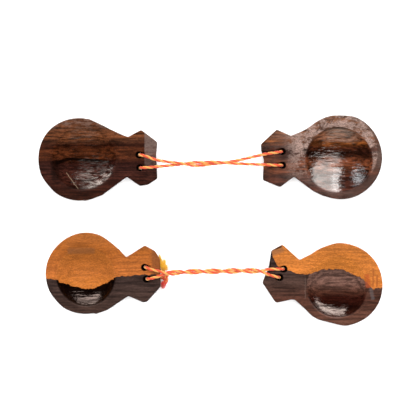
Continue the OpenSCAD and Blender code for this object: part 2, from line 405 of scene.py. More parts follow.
def tube(rings, closed=False):
    """Points and faces of a tube through rings of points, with flat ends unless it is closed."""
    count, sides = rings.shape[:2]
    number = np.arange(count * sides).reshape(count, sides)
    near = number if closed else number[:-1]
    far = np.roll(number, -1, axis=0) if closed else number[1:]
    walls = np.stack([near, np.roll(near, -1, 1), np.roll(far, -1, 1), far], axis=2)
    faces = [tuple(f) for f in walls.reshape(-1, 4).tolist()]
    if not closed:
        faces += [tuple(number[0, ::-1].tolist()), tuple(number[-1].tolist())]
    return rings.reshape(-1, 3), faces


def ply_rings(line, side, turn, diameter):
    """Rings of one of a strand's plies, pressed flat on the other. turn is where it starts round
    the strand. The grooves between its yarns wind the other way."""
    _, across, up = carried_frames(line, side)
    far = along(line)[:, None]
    angle = tau * far / PLY_PITCH + turn
    out = np.cos(angle) * across + np.sin(angle) * up
    over = np.cos(angle) * up - np.sin(angle) * across
    round_it = np.linspace(0, tau, PLY_SIDES, endpoint=False)
    yarns = 1 + YARN_DEEP * np.cos(YARNS * (round_it + tau * far / YARN_PITCH))
    thick = PLY_THICK * diameter * yarns * np.cos(round_it)
    wide = PLY_WIDE * diameter * yarns * np.sin(round_it)
    middle = (line + PLY_OFF * diameter * out)[:, None]
    return middle + thick[..., None] * out[:, None] + wide[..., None] * over[:, None]


class Mesh:
    """Points and faces gathered from several shapes, each with its own material."""

    def __init__(self):
        self.points, self.faces, self.looks = [], [], []
        self.count = 0

    def add(self, points, faces, look=0):
        self.points.append(points)
        self.faces += [tuple(i + self.count for i in f) for f in faces]
        self.looks += [look] * len(faces)
        self.count += len(points)

    def build(self, name, materials):
        data = bpy.data.meshes.new(name)
        data.from_pydata(np.vstack(self.points).tolist(), [], self.faces)
        for material in materials:
            data.materials.append(material)
        data.polygons.foreach_set("material_index", self.looks)
        data.polygons.foreach_set("use_smooth", [True] * len(self.faces))
        data.update()
        return in_scene(name, data)


def add_strand(mesh, line, side=(0, 1, 0), turn=0, diameter=CORD_D, closed=False):
    """Both plies of a strand along a line: material 0 is the red ply, 1 the yellow one."""
    for look in (0, 1):
        rings = ply_rings(line, side, turn + pi * look, diameter)
        mesh.add(*tube(rings, closed), look)


def add_fuzz(mesh, line, seed):
    """Stray fibre ends that stand a little off a strand."""
    chance = np.random.default_rng(seed)
    heading, across, up = carried_frames(line, (0, 1, 0))
    far = along(line)
    for start in np.arange(FUZZ_BARE[0], far[-1] - FUZZ_BARE[1], FUZZ_STEP):
        i = int(np.searchsorted(far, start + chance.uniform(0, FUZZ_STEP)))
        angle = chance.uniform(0, tau)
        out = cos(angle) * across[i] + sin(angle) * up[i]
        lean = chance.uniform(-1, 1) * heading[i]
        lean = lean + chance.uniform(-0.5, 0.5) * np.cross(out, heading[i])
        base = line[i] + 0.4 * CORD_D * out
        reach = chance.uniform(*FUZZ_REACH)
        bend = [base + reach * t * (out * (1 - 0.5 * t) + lean * t) for t in (0, 0.5, 1)]
        add_fibre(mesh, np.array(bend), FUZZ_R, int(chance.integers(0, 2)))


def add_fibre(mesh, line, radius, look):
    """One thin fibre, pointed at its far end."""
    _, across, up = carried_frames(line, (0.3, 0.2, 0.9))
    corners = [(cos(a), sin(a)) for a in (0, 2.1, 4.2)]
    thick = radius * np.linspace(1, 0.25, len(line))[:, None]
    rings = np.stack([line + thick * (c * across + s * up) for c, s in corners], axis=1)
    mesh.add(*tube(rings), look)


def add_tuft(mesh, root, clumps, seed, looks, radius=0.00013):
    """Loose fibres of a cut end, which take their looks in turn."""
    chance = np.random.default_rng(seed)
    for tip, count, spread in clumps:
        for i in range(count):
            end = np.array(tip) * chance.uniform(0.62, 1.0) + chance.normal(0, spread, 3) * (1, 1, 0.6)
            t = np.linspace(0, 1, 9)[:, None]
            bow = chance.normal(0, 0.0005, 3)
            crimp = 0.00012 * np.sin(t * 14 + chance.uniform(0, 6))
            line = root + t * end + t * (1 - t) * 2 * bow + crimp
            add_fibre(mesh, line, radius * chance.uniform(0.7, 1.3), looks[i % len(looks)])


def fibre_look(name, light, dark):
    """Dyed cotton ply: patchy in tone, with fine fibres along it and a soft sheen."""
    look = Look(name)
    lump = look.noise((900, 900, 900), detail=3)
    fine = look.noise((5200, 5200, 5200), detail=2, roughness=0.7)
    shade = look.plus(look.times(lump, 0.7), look.times(fine, 0.5))
    colour = look.ramp(shade, [(0.3, dark), (0.75, light)])
    look.set(Base_Color=colour, Roughness=0.75, Sheen_Weight=0.35, Sheen_Roughness=0.4)
    look.set(Normal=look.bump(fine, 0.0001, 0.6))
    return look.material


def strand_piece(name, line, looks, seed, side=(0, 1, 0), turn=0):
    """A stretch of cord along a line, with its fuzz."""
    mesh = Mesh()
    add_strand(mesh, line, side, turn)
    add_fuzz(mesh, line, seed)
    return mesh.build(name, looks)


def knot_line(at, size):
    """A trefoil, as a cord goes in a pulled overhand knot, as a closed line."""
    t = np.linspace(0, tau, 120, endpoint=False)
    flat = np.stack([np.sin(t) + 2 * np.sin(2 * t), np.cos(t) - 2 * np.cos(2 * t)], axis=1)
    return np.column_stack([size * flat, -KNOT_RISE * np.sin(3 * t)]) + at


def knot_piece(name, at, looks, size, stubs=()):
    """A pulled knot; stubs are cord ends cut short, as (start, end) points."""
    mesh = Mesh()
    line = knot_line(np.array(at), size)
    add_strand(mesh, line, (0, 0, 1), diameter=KNOT_CORD_D, closed=True)
    for start, end in stubs:
        ends = np.array([start, (start + end) / 2, end])
        add_strand(mesh, smooth_line(ends), (0, 0, 1), diameter=KNOT_CORD_D)
    return mesh.build(name, looks)


def twisted_line(left, right, turn):
    """One of pair B's strands: it winds round the middle line between its two ends."""
    middle = smooth_line(at_rim(B_MIDDLE), 0.002)
    far = along(middle)[:, None]
    angle = pi / 2 + tau * far / TWIST_PITCH + turn
    wound = middle + CORD_D / 2 * np.hstack([0 * far, np.cos(angle), np.sin(angle)])
    return smooth_line(np.vstack([at_rim(left), wound, at_rim(right)]))


def hang_strand(pair, name, line, looks, seed, turn, twist=()):
    """A strand that runs free from its left hole's mouth to its right hole, where it goes back in."""
    piece = strand_piece(f"strand_{pair}_{name}", line, looks, seed, turn=turn)
    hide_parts(*[f"cord_{pair}_{name}_{part}" for part in STRAND_PARTS], *twist)
    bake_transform(piece)


def make_loop(pair, route, looks, seed):
    """The cord's way behind a right ear, from hole to hole."""
    line = smooth_line(at_rim(route))
    loop = strand_piece(f"loop_{pair}", line, looks, seed, (1, 0, 0))
    ride_for(loop, f"pair_{pair}_right", f"cord_{pair}_loop")


def make_pair_a_cord(looks):
    """Two strands that cross once, the loop that joins them, and the knot with its stubs."""
    for name, route, seed in (("upper", A_UPPER, 1), ("lower", A_LOWER, 2)):
        route = at_rim(route)
        line = smooth_line(route)
        hang_strand("a", name, line, looks, seed, seed * 1.9)
    make_loop("a", A_LOOP, looks, 3)
    one = np.array(KNOT_A_AT) + (0.0012, 0.001, -0.0006)
    other = np.array(KNOT_A_AT) + (-0.001, -0.001, -0.0004)
    stubs = [(one, one + (0.0032, 0.0008, -0.0002)), (other, other + (0.0012, -0.003, -0.0004))]
    knot = knot_piece("knot_a", KNOT_A_AT, looks, KNOT_A_SIZE, stubs)
    ride_for(knot, "pair_a_left", "cord_a_knot")


def make_pair_b_cord(looks):
    """Two strands wound round each other, the loop that joins them, and the knot."""
    upper = twisted_line(B_UPPER_LEFT, B_UPPER_RIGHT, 0)
    lower = twisted_line(B_LOWER_LEFT, B_LOWER_RIGHT, pi)
    twist = "cord_b_twist_left", "cord_b_twist_right"
    hang_strand("b", "upper", upper, looks, 4, 4 * 1.7, twist)
    hang_strand("b", "lower", lower, looks, 5, 5 * 1.7)
    make_loop("b", B_LOOP, looks, 6)
    knot = knot_piece("knot_b", KNOT_B_AT, looks, KNOT_B_SIZE)
    ride_for(knot, "pair_b_left", "cord_b_knot")


# Loose fibres of pair B's cut ends: each clump's tip from its root, its fibres and their spread
YELLOW_CLUMPS = [
    ((-0.0026, 0.0124, 0.001), 140, 0.0006), ((0.0017, 0.0078, 0.001), 150, 0.0008),
    ((-0.0013, 0.0062, 0.002), 210, 0.0009), ((0.0034, 0.0026, 0.002), 230, 0.0012),
    ((0.001, 0.003, 0.003), 230, 0.0012),
]
RED_TOUCH = [((0, 0.0018, 0.0004), 30, 0.0004)]
RED_CLUMPS = [((-0.0006, -0.0038, 0.0008), 520, 0.0012), ((0.0026, 0.001, 0.0008), 60, 0.0009)]
# Radius of these fibres
TUFT_FIBRE_R = 0.00018


def make_upper_end(looks, yellow):
    """Pair B's upper cut end, frayed out into yellow fibres with a touch of red."""
    route = at_rim(B_UPPER_TAIL)
    tail = strand_piece("tail_b_upper", smooth_line(route), looks, 7, (0, 0, 1))
    ride_for(tail, "pair_b_left", "cord_b_upper_tail")
    tuft = Mesh()
    root = route[-1] - (0, 0.0014, 0)
    add_tuft(tuft, root, YELLOW_CLUMPS, 8, (1,), TUFT_FIBRE_R)
    add_tuft(tuft, root + (-0.0021, 0.0066, 0.0014), RED_TOUCH, 10, (0,))
    piece = tuft.build("frayed_end_b", [looks[0], yellow])
    ride_for(piece, "pair_b_left", "cord_b_frayed_end")


def make_lower_end(looks, red):
    """Pair B's lower cut end, short and red, with one yellow fibre in seven."""
    route = at_rim(B_LOWER_TAIL)
    tail = Mesh()
    add_strand(tail, smooth_line(route), (0, 0, 1), turn=1)
    add_tuft(tail, route[-1] + (0, 0.0022, 0), RED_CLUMPS, 9, (2, 2, 2, 2, 2, 2, 1), TUFT_FIBRE_R)
    piece = tail.build("tail_b_lower", [*looks, red])
    ride_for(piece, "pair_b_left", "cord_b_lower_tail")


def ride_for(piece, body, node):
    """The piece stands for a CAD node and rides on its body."""
    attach(piece, body)
    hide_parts(node)


def make_cords():
    looks = [
        fibre_look("red_ply", "#ee6440", "#c2391f"),
        fibre_look("yellow_ply", "#f9b566", "#e58638"),
    ]
    make_pair_a_cord(looks)
    make_pair_b_cord(looks)
    make_upper_end(looks, fibre_look("yellow_fibres", "#ffda28", "#ffa808"))
    make_lower_end(looks, fibre_look("red_fibres", "#f01c2a", "#c80a1a"))


# -------- shells: their shapes, in millimetres

RIM_MM = RIM / MM
HOLLOW_DEPTH = 8
# A height just below the hollow's uneven floor
UNDER_HOLLOW = RIM_MM - HOLLOW_DEPTH - 0.6
# Radius of the flat that a shell stands on, and the height at which its back turns upright
BASE_R = 14
BACK_H = 11
# Height of an ear's underside at its neck, with its rise to there and its rise beyond
EAR_UNDER = 6
NECK_RISE = 2
EAR_RISE = 0.5
# Where along a shell its neck starts, its neck ends and its ear ends
NECK_START = 24
NECK_END = 38
EAR_END = 58
# A cord hole's radius at its mouth and at its lower end, which stands a little nearer the tip
HOLE_R = 2.15
HOLE_END_R = 1.4
HOLE_LEAN = 0.5
# How far below the rim a hole begins to narrow, and over what depth
NARROW_FROM = 2
NARROW_OVER = 4
# The groove worn at a hole's mouth: its length and depth, its half width at the hole, and how
# much that grows to its far end
GROOVE_LONG = 2.6
GROOVE_DEEP = 2.3
GROOVE_R = 1.7
GROOVE_FLARE = 0.3
# Slope of the bevel on an ear's inner face
BEVEL = tan(radians(8))
# Step of the grid that a shell is carved from, and the grid's ends along the shell, across and up
CELL = 0.4
GRID = ((-34, 62), (-34, 34), (-1, 17))
# Stands for far away from the hollow
AWAY = 5

# A shell is drawn about its disc's centre, with the ear towards +X. r is the disc's radius, side is
# -1 where the shell is then mirrored, crease is where the bevel starts, and turn is the bevel's turn
# in degrees. hollow is the hollow's middle and radius. lip and bowl are the rounding of its corner
# and the power of its curve, at its lower and its upper side in plan. flats are bearings in degrees
# and distances of straight cuts on the disc, and grow is how far its outline stands proud of r.
SHELLS = {
    "a_left": dict(
        r=31.6, side=1, crease=49.2, turn=0,
        ear=[
            (0, 20), (6.5, 30.6), (33, 18.3), (37, 16.8), (47, 22.3), (59.3, 13), (58.3, 3),
            (59.3, -14.8), (52, -19.4), (46, -20.4), (36, -13.4), (17, -27.4), (4, -31.5),
        ],
        holes=[(45.4, 3.2), (46.1, -6.6)],
        hollow=(3.4, 0.8, 25), lip=(0.6, 3.5), bowl=(2.5, 2.1),
        flats=[(219, 31), (65, 30.4)], grow=-0.2,
    ),
    "a_right": dict(
        r=31.8, side=-1, crease=49.8, turn=0,
        ear=[
            (0, 20), (10, 29.4), (29.5, 19.2), (37.3, 16), (48, 20.9), (60, 9.7), (59.8, 5),
            (57.8, -2), (58.5, -17.6), (45.4, -23), (34.7, -15), (20, -26), (12, -29.4), (0, -20),
        ],
        holes=[(44, 4), (43.7, -6.4)],
        hollow=(1.1, -2.7, 25.5), lip=(0.7, 0.6), bowl=(2.2, 2.3),
        flats=[(92, 31.7)], grow=0.4,
    ),
    "b_left": dict(
        r=31, side=1, crease=50, turn=0,
        ear=[
            (0, 15), (24.5, 18.2), (30.2, 12.3), (44.3, 21.4), (52, 17.3), (55.8, 11.5), (56.3, 2),
            (56.5, -10), (46.3, -21.4), (43.2, -21.9), (32, -17), (16.5, -27.3), (7, -30.7), (0, -20),
        ],
        holes=[(44.4, 4.8), (45.7, -4.1)],
        hollow=(-0.4, -2.3, 22.7), lip=(0.6, 4), bowl=(3.4, 2),
        flats=[(221, 30.9), (52, 30.1)], grow=-0.1,
    ),
    "b_right": dict(
        r=31.3, side=-1, crease=48.5, turn=10,
        ear=[
            (0, 20), (12.5, 28), (31.3, 18.8), (44.3, 30.6), (52.8, 25.9), (54.6, 13.7),
            (59.6, 1.5), (50, -13), (48.5, -13.6), (38, -11.3), (35, -11.4), (21, -24), (0, -20),
        ],
        holes=[(43.3, 12), (46.5, 5.5)],
        hollow=(2.7, -1.5, 23.6), lip=(0.6, 4), bowl=(3.6, 2),
        flats=[(284, 29.9), (70, 31.5)], grow=0.4,
    ),
}


def soft_max(a, b, size):
    """The larger of two distances, with the corner rounded over about that size."""
    share = np.clip(0.5 + 0.5 * (a - b) / size, 0, 1)
    return b + (a - b) * share + size * share * (1 - share)


def soft_min(a, b, size):
    """The smaller of two distances, with the corner between them filled."""
    return -soft_max(-a, -b, size)


def outline_distance(u, v, corners):
    """Distance to a closed outline in plan, negative inside it."""
    nearest = np.full(u.shape, np.inf)
    inside = np.zeros(u.shape, bool)
    for (ax, ay), (bx, by) in zip(corners, corners[1:] + corners[:1]):
        ex, ey = bx - ax, by - ay
        t = np.clip(((u - ax) * ex + (v - ay) * ey) / (ex * ex + ey * ey), 0, 1)
        nearest = np.minimum(nearest, np.hypot(u - ax - t * ex, v - ay - t * ey))
        crosses = (ay > v) != (by > v)
        inside ^= crosses & (u < ax + (v - ay) * ex / (ey if ey else 1))
    return np.where(inside, -nearest, nearest)


def blurred(plan, times):
    """A plan with its corners rounded, by averaging each place with its neighbours."""
    for _ in range(times):
        for axis in (0, 1):
            plan = (np.roll(plan, 1, axis) + 2 * plan + np.roll(plan, -1, axis)) / 4
    return plan


def waves(u, v, seed, size, height):
    """Slow uneven swells, as a hand tool leaves: size is their length along u and v."""
    chance = np.random.default_rng(seed)
    total = np.zeros(np.broadcast(u, v).shape)
    for _ in range(6):
        along_u, along_v = chance.uniform(0.5, 1.3, 2) * chance.choice([-1, 1], 2)
        start = chance.uniform(0, tau)
        total = total + np.sin(tau * (along_u * u / size[0] + along_v * v / size[1]) + start)
    return height * total / 3


def disc_plan(shape, u, v, seed):
    """Distance to the disc's outline in plan, with its flats and its slight unevenness."""
    bearing = np.arctan2(v, u)
    uneven = 0.18 * np.sin(3 * bearing + seed) + 0.12 * np.sin(5 * bearing + 2 * seed)
    plan = np.hypot(u, v) - shape["r"] - uneven - shape["grow"]
    for bearing_deg, distance in shape["flats"]:
        a = radians(bearing_deg)
        plan = soft_max(plan, u * cos(a) + v * sin(a) - distance, 1.2)
    return plan


def back(plan, rho, z):
    """The disc's rounded back: a standing flat, a quarter ellipse and an upright rim."""
    wide = np.maximum(rho - plan - BASE_R, 1)
    out = np.maximum(rho - BASE_R, 0) / wide
    down = np.maximum(BACK_H - z, 0) / BACK_H
    return (np.hypot(out, down) - 1) * wide


def beyond_crease(shape, u, v):
    """Distance past the crease, towards the ear's tip."""
    turn = radians(shape["turn"])
    return u * cos(turn) + v * sin(turn) - shape["crease"]


def top_face(shape, u, v, z, seed):
    """Height over the inner face: level, bevelled beyond the ear's crease."""
    level = z - RIM_MM + waves(u, v, seed, (26, 17), 0.06)
    slope = level + np.maximum(beyond_crease(shape, u, v), 0) * BEVEL
    return soft_max(level, slope, 0.2) - 0.05


def hollow_plan(shape, u, v, seed):
    """Distance from the hollow's middle in plan, and how far its wall is there."""
    at_u, at_v, r = shape["hollow"]
    du, dv = u - at_u, v - at_v
    bearing = np.arctan2(dv, du)
    uneven = 1 + 0.012 * np.sin(2 * bearing + seed) + 0.01 * np.sin(3 * bearing + 2 * seed)
    return np.hypot(du, dv), r * uneven


def hollow_distance(shape, u, v, z, seed):
    """Distance into the wood from the hollow: an uneven bowl, steeper at its wall."""
    rho, wide = hollow_plan(shape, u, v, seed)
    depth = HOLLOW_DEPTH + waves(u, v, seed + 1, (30, 13), 0.12)
    power = by_side(shape, v, shape["bowl"])
    out = np.minimum(rho / wide, 1.3)
    slope = power * out ** (power - 1) / wide
    return (out ** power - 1 + (RIM_MM - z) / depth) / np.hypot(slope, 1 / depth)


def by_side(shape, v, ends):
    """A value that goes smoothly from the hollow's lower side to its upper side in plan."""
    low, high = ends
    up = np.clip((v - shape["hollow"][1]) / shape["hollow"][2], -1, 1)
    return low + (high - low) * (0.5 + 0.5 * np.sin(up * pi / 2))


def ear_underside(u):
    """Height of the ear's underside, which starts lower, inside the disc."""
    to_neck = np.clip((u - NECK_START) / (NECK_END - NECK_START), 0, 1)
    to_end = np.clip((u - NECK_END) / (EAR_END - NECK_END), 0, 1)
    return EAR_UNDER - NECK_RISE + NECK_RISE * to_neck + EAR_RISE * to_end


def carve(shape, seed):
    """The shell's distance field on a grid, negative in the wood, and the grid's first corner."""
    sides = [np.arange(*ends, CELL) for ends in GRID]
    u, v, z = np.meshgrid(*sides, indexing="ij", sparse=True)
    flat_u, flat_v = np.broadcast_arrays(u[..., 0], v[..., 0])
    ear = blurred(outline_distance(flat_u, flat_v, shape["ear"]), 4)[..., None]
    under = ear_underside(u)
    ear_part = soft_max(ear, under + waves(u, v, seed + 2, (14, 12), 0.1) - z, 2.5)
    disc_part = back(disc_plan(shape, u, v, seed), np.hypot(u, v), z)
    body = soft_min(disc_part, ear_part, 1.6)
    top = top_face(shape, u, v, z, seed)
    body = soft_max(body, top, 0.8)
    lip = by_side(shape, v, shape["lip"])
    body = soft_max(body, -hollow_distance(shape, u, v, z, seed), lip)
    for place in shape["holes"]:
        body = soft_max(body, hole_distance(place, u, v, z, top, under), 0.3)
        body = soft_max(body, groove_distance(place, u, v, z), 0.4)
    return body, np.array([low for low, _ in GRID])


def hole_distance(place, u, v, z, top, under):
    """Distance into a cord hole: it narrows downwards and is flared at both ends."""
    down = np.clip((RIM_MM - NARROW_FROM - z) / NARROW_OVER, 0, 1)
    flare = 0.5 * np.exp(np.minimum(top, 0) / 0.5)
    flare = flare + 0.3 * np.exp(np.minimum(under - z, 0) / 0.6)
    wide = HOLE_R + (HOLE_END_R - HOLE_R) * down + flare
    return wide - np.hypot(u - place[0] - HOLE_LEAN * down, v - place[1])


def groove_distance(place, u, v, z):
    """Distance into the groove that the cord has worn from a hole's mouth towards the tip."""
    reach = np.clip(u - place[0], 0, GROOVE_LONG)
    half = GROOVE_R + GROOVE_FLARE * reach / GROOVE_LONG
    across = half - np.hypot(u - place[0] - reach, v - place[1])
    return soft_min(across, z - RIM_MM + GROOVE_DEEP, 0.5)


def surface_net(field, corner, step):
    """The surface where the field crosses zero, as points and four-sided faces: each cell that it
    passes through gets one point, at the mean of its crossings of the cell's edges."""
    cells = np.array(field.shape) - 1
    total, hits, faces = np.zeros((cells.prod(), 3)), np.zeros(cells.prod()), []
    for axis in range(3):
        one, two = (axis + 1) % 3, (axis + 2) % 3
        low = np.moveaxis(np.moveaxis(field, axis, 0)[:-1], 0, axis)
        high = np.moveaxis(np.moveaxis(field, axis, 0)[1:], 0, axis)
        at = np.argwhere((low < 0) != (high < 0))
        a, b = low[tuple(at.T)], high[tuple(at.T)]
        place = at.astype(float)
        place[:, axis] += a / (a - b)
        round_it = []
        for back_one, back_two in ((0, 0), (1, 0), (1, 1), (0, 1)):
            cell = at.copy()
            cell[:, one] -= back_one
            cell[:, two] -= back_two
            index = np.ravel_multi_index(cell.T, cells)
            np.add.at(total, index, place)
            np.add.at(hits, index, 1)
            round_it.append(index)
        quads = np.stack(round_it, axis=1)
        quads[a > 0] = quads[a > 0, ::-1]
        faces.append(quads)
    used = np.flatnonzero(hits)
    number = np.full(len(hits), -1)
    number[used] = np.arange(len(used))
    return corner + step * total[used] / hits[used, None], number[np.concatenate(faces)]


def convexity(points, faces, normals):
    """How far each point stands out from its neighbours' mean, in units of the grid."""
    total, hits = np.zeros_like(points), np.zeros(len(points))
    for i in range(4):
        for j in (1, 3):
            np.add.at(total, faces[:, i], points[faces[:, (i + j) % 4]])
            np.add.at(hits, faces[:, i], 1)
    return np.einsum("ij,ij->i", points - total / hits[:, None], normals)


def shell_centre(node, shape):
    """Where the disc's centre stands: its round end touches the CAD node's box."""
    low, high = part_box(node)
    across = low.x + shape["r"] * MM if shape["side"] > 0 else high.x - shape["r"] * MM
    return across, low.y + shape["r"] * MM


def give(data, name, values):
    """Store a value at each of a mesh's points, for its material."""
    attribute = data.attributes.new(name, "FLOAT", "POINT")
    attribute.data.foreach_set("value", np.asarray(values, np.float32))


def shell_values(shape, seed, points):
    """What the wood's material reads at each of a shell's points, in millimetres."""
    u, v, z = points.T
    rho, wide = hollow_plan(shape, u, v, seed)
    gaps = [np.hypot(u - hole_u, v - hole_v) - HOLE_R for hole_u, hole_v in shape["holes"]]
    edge = np.minimum(disc_plan(shape, u, v, seed), outline_distance(u, v, shape["ear"]))
    return {
        "beyond_hollow": np.where(z > UNDER_HOLLOW, rho - wide, AWAY),
        "beyond_hole": np.minimum(*gaps),
        "inside_edge": -edge,
        "beyond_crease": beyond_crease(shape, u, v),
    }


def make_shell(key, seed, look, border=None):
    """A shell at its CAD node's place. border is where heartwood meets sapwood, if any."""
    shape = SHELLS[key]
    node = f"shell_{key}"
    field, corner = carve(shape, seed)
    points, faces = surface_net(field, corner, CELL)
    placed = points * (shape["side"] * MM, MM, MM) + (*shell_centre(node, shape), 0)
    if shape["side"] < 0:
        faces = faces[:, ::-1]
    mesh = Mesh()
    mesh.add(placed, [tuple(f) for f in faces.tolist()])
    piece = mesh.build(f"{node}_wood", [look])
    normals = np.zeros(len(placed) * 3)
    piece.data.vertices.foreach_get("normal", normals)
    values = shell_values(shape, seed, points)
    values["worn"] = convexity(placed / MM, faces, normals.reshape(-1, 3))
    if border:
        xs, ys = np.array(border).T
        values["heart"] = np.interp(placed[:, 0] / MM, xs, ys) - placed[:, 1] / MM
    for name, value in values.items():
        give(piece.data, name, value)
    ride_for(piece, f"pair_{key}", node)
    return piece


# -------- wood


def streaks(look, turn=0):
    """Broad, medium and fine streaks along the grain, each from 0 to 1."""
    broad = look.noise((14, 130, 130), turn, detail=3, distortion=0.6)
    medium = look.noise((45, 620, 620), turn, detail=4, distortion=0.3)
    fine = look.noise((240, 3600, 3600), turn, detail=4, roughness=0.7)
    return broad, medium, fine


def banded(look, wobble, stops):
    """Colours across the grain, as growth rings show: stops are (Y in mm, colour)."""
    low, high = stops[0][0], stops[-1][0]
    across = look.plus(look.axis("Y"), look.times(wobble, 0.006))
    across = look.minus(across, 0.003)
    way = look.new("MapRange", Value=across, From_Min=low * MM, From_Max=high * MM)
    return look.ramp(way.outputs["Result"], [((y - low) / (high - low), c) for y, c in stops])


def upper_face(look, low=0, high=1):
    """From low to high as the wood rises to the height of its upper face."""
    return look.between(look.axis("Z"), 0.0125, 0.0145, low, high)


def shaded(look, colour, amount, low, high):
    """The colour made from low to high times as bright, as the amount rises."""
    return look.mix(1, colour, look.between(amount, 0.3, 0.7, low, high), "MULTIPLY")


def marked(look, colour, wobble, marks):
    """Scratches, dark veins, stained edges, and painted shadows, highlights and reflections. Each is
    (start, end, half width, colour, strength).
    """
    for start, end, width, code, strength in marks:
        on = look.times(look.stroke(start, end, width, wobble), strength)
        colour = look.mix(on, colour, tint(code))
    return colour


def finish_wood(look, colour, medium, fine, wear, shine, patch=(60, 240, 240)):
    """Open pores, paler wood on worn edges, painted shade in the cord holes and round their mouths,
    and lacquer over it all. wear is the worn wood's colour and strength. The rest is for lacquer()."""
    pores = look.between(look.noise((330, 5200, 5200), detail=1), 0.6, 0.7)
    colour = look.mix(look.times(pores, 0.6), colour, tint("#160b08"))
    worn = look.between(look.stored("worn"), 0.05, 0.18)
    colour = look.mix(look.times(worn, wear[1]), colour, tint(wear[0]))
    # Painted shade: the cord holes and a ring round their mouths go near black
    clear = look.between(look.stored("beyond_hole"), 0.3, 1)
    colour = look.mix(clear, tint("#0d0705"), colour)
    look.set(Base_Color=colour, Roughness=0.6, Specular_IOR_Level=0.0)
    look.set(Normal=look.bump(fine, 0.00015, 0.6))
    lacquer(look, medium, shine, patch, clear)


def lacquer(look, medium, shine, patch, clear):
    """A clear coat, left off the cord holes. shine is its weight outside the hollow, its least and
    greatest weight in the patches inside it, and its roughness there."""
    outside, least, greatest, rough = shine
    within = look.between(look.stored("beyond_hollow"), 0, -2.2)
    patches = look.plus(look.noise(patch, detail=4, roughness=0.6), look.times(medium, 0.25))
    patchy = look.between(patches, 0.5, 0.73, least - outside, greatest - outside)
    weight = look.plus(look.times(patchy, within), outside)
    dents = look.plus(look.noise((90, 260, 260)), look.times(medium, 0.5))
    strength = look.between(within, 0, 1, 0.2, 0.6)
    look.set(Coat_Weight=look.times(weight, clear), Coat_IOR=1.6)
    look.set(Coat_Roughness=look.between(within, 0, 1, 0.35, rough))
    look.set(Coat_Normal=look.bump(dents, 0.0009, strength))


def dark_left_look():
    """Dark wood with a black vein across its disc, painted shadow on its hollow's left wall, a painted
    grey sheen on its ear's bevel, and pale worn patches near its upper edge.
    """
    look = Look("dark_wood_left")
    broad, medium, fine = streaks(look)
    colour = banded(look, broad, [
        (15, "#34190f"), (27, "#2f150e"), (34, "#371a13"), (41, "#2d1510"), (44.5, "#260f09"),
        (48, "#44200f"), (53, "#46210f"), (57, "#30140a"), (60, "#3f2214"), (65, "#643820"),
        (70, "#55301c"), (79, "#4e3022"),
    ])
    colour = shaded(look, colour, medium, 0.3, 1.6)
    colour = shaded(look, colour, fine, 0.7, 1.35)
    colour = shaded(look, colour, look.noise((800, 1500, 1500), detail=2), 0.7, 1.3)
    blotch = look.noise((200, 420, 420), detail=4, roughness=0.65)
    # Painted sheen: the ear's bevel is greyed in patches, more towards its upper side
    facet = look.between(look.stored("beyond_crease"), 0, 0.8)
    upper = look.between(look.axis("Y"), 0.037, 0.05, 0.02, 0.9)
    pale_sheen_and_wear = look.times(upper, look.between(blotch, 0.3, 0.6, 0.4, 0.95))
    colour = look.mix(look.times(facet, pale_sheen_and_wear), colour, tint("#6f5c55"))
    # Pale wear in patches on the top face near the disc's upper edge
    top = look.between(look.axis("Y"), 0.067, 0.075, 0, 0.6)
    top = look.times(top, upper_face(look))
    pale_sheen_and_wear = look.times(top, look.between(blotch, 0.45, 0.6))
    colour = look.mix(pale_sheen_and_wear, colour, tint("#7b6156"))
    colour = marked(look, colour, medium, [
        ((-117.5, 43.5), (-107, 47.3), 1.9, "#050201", 0.9),
        ((-109, 47.3), (-84, 45.6), 1.9, "#050201", 0.95),
        ((-88, 45.6), (-76, 44.6), 0.9, "#050201", 0.8),
        # Painted shadow on the hollow's left wall
        ((-117.3, 30), (-118.3, 46), 4.6, "#0c0503", 0.7),
        ((-109.6, 36.9), (-100.1, 23.6), 0.33, "#a08a72", 0.6),
    ])
    finish_wood(look, colour, medium, fine, ("#7d6456", 0.3), (0.1, 0.02, 1, 0.12), (150, 420, 420))
    return look.material


